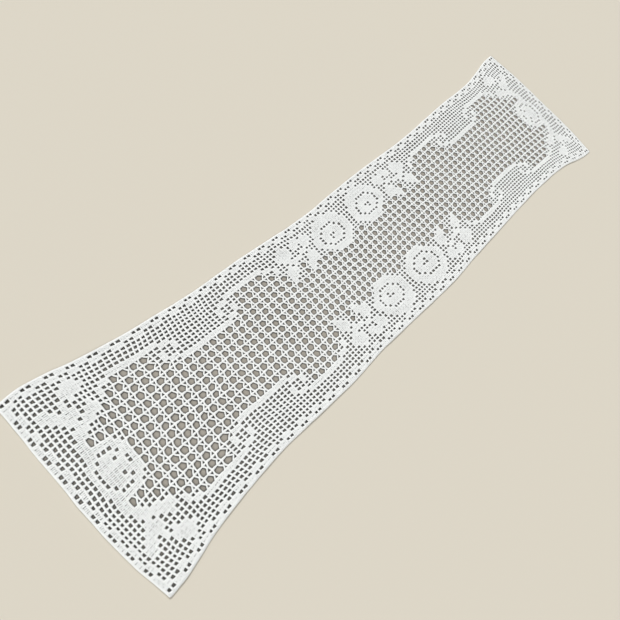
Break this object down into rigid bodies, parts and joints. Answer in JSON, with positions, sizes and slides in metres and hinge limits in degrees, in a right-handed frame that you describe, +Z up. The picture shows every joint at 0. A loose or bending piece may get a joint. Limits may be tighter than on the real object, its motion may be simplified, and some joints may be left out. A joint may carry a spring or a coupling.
{
  "type": "crochet table runner",
  "caption": "Long flat white cotton table runner in openwork crochet, flaring a little at both ends, with a lace field and solid flower blocks.",
  "frame": {"origin": "centre of the bounding box's bottom face, on the surface that the runner lies on", "axes": "+X across the width, +Y along the length, +Z up out of the cloth"},
  "size_m": [0.327, 1.2458, 0.0016],
  "materials": {
    "cotton": "matte white cotton crochet thread"
  },
  "bodies": {
    "root": {"runner": "cotton"}
  },
  "joints": []
}
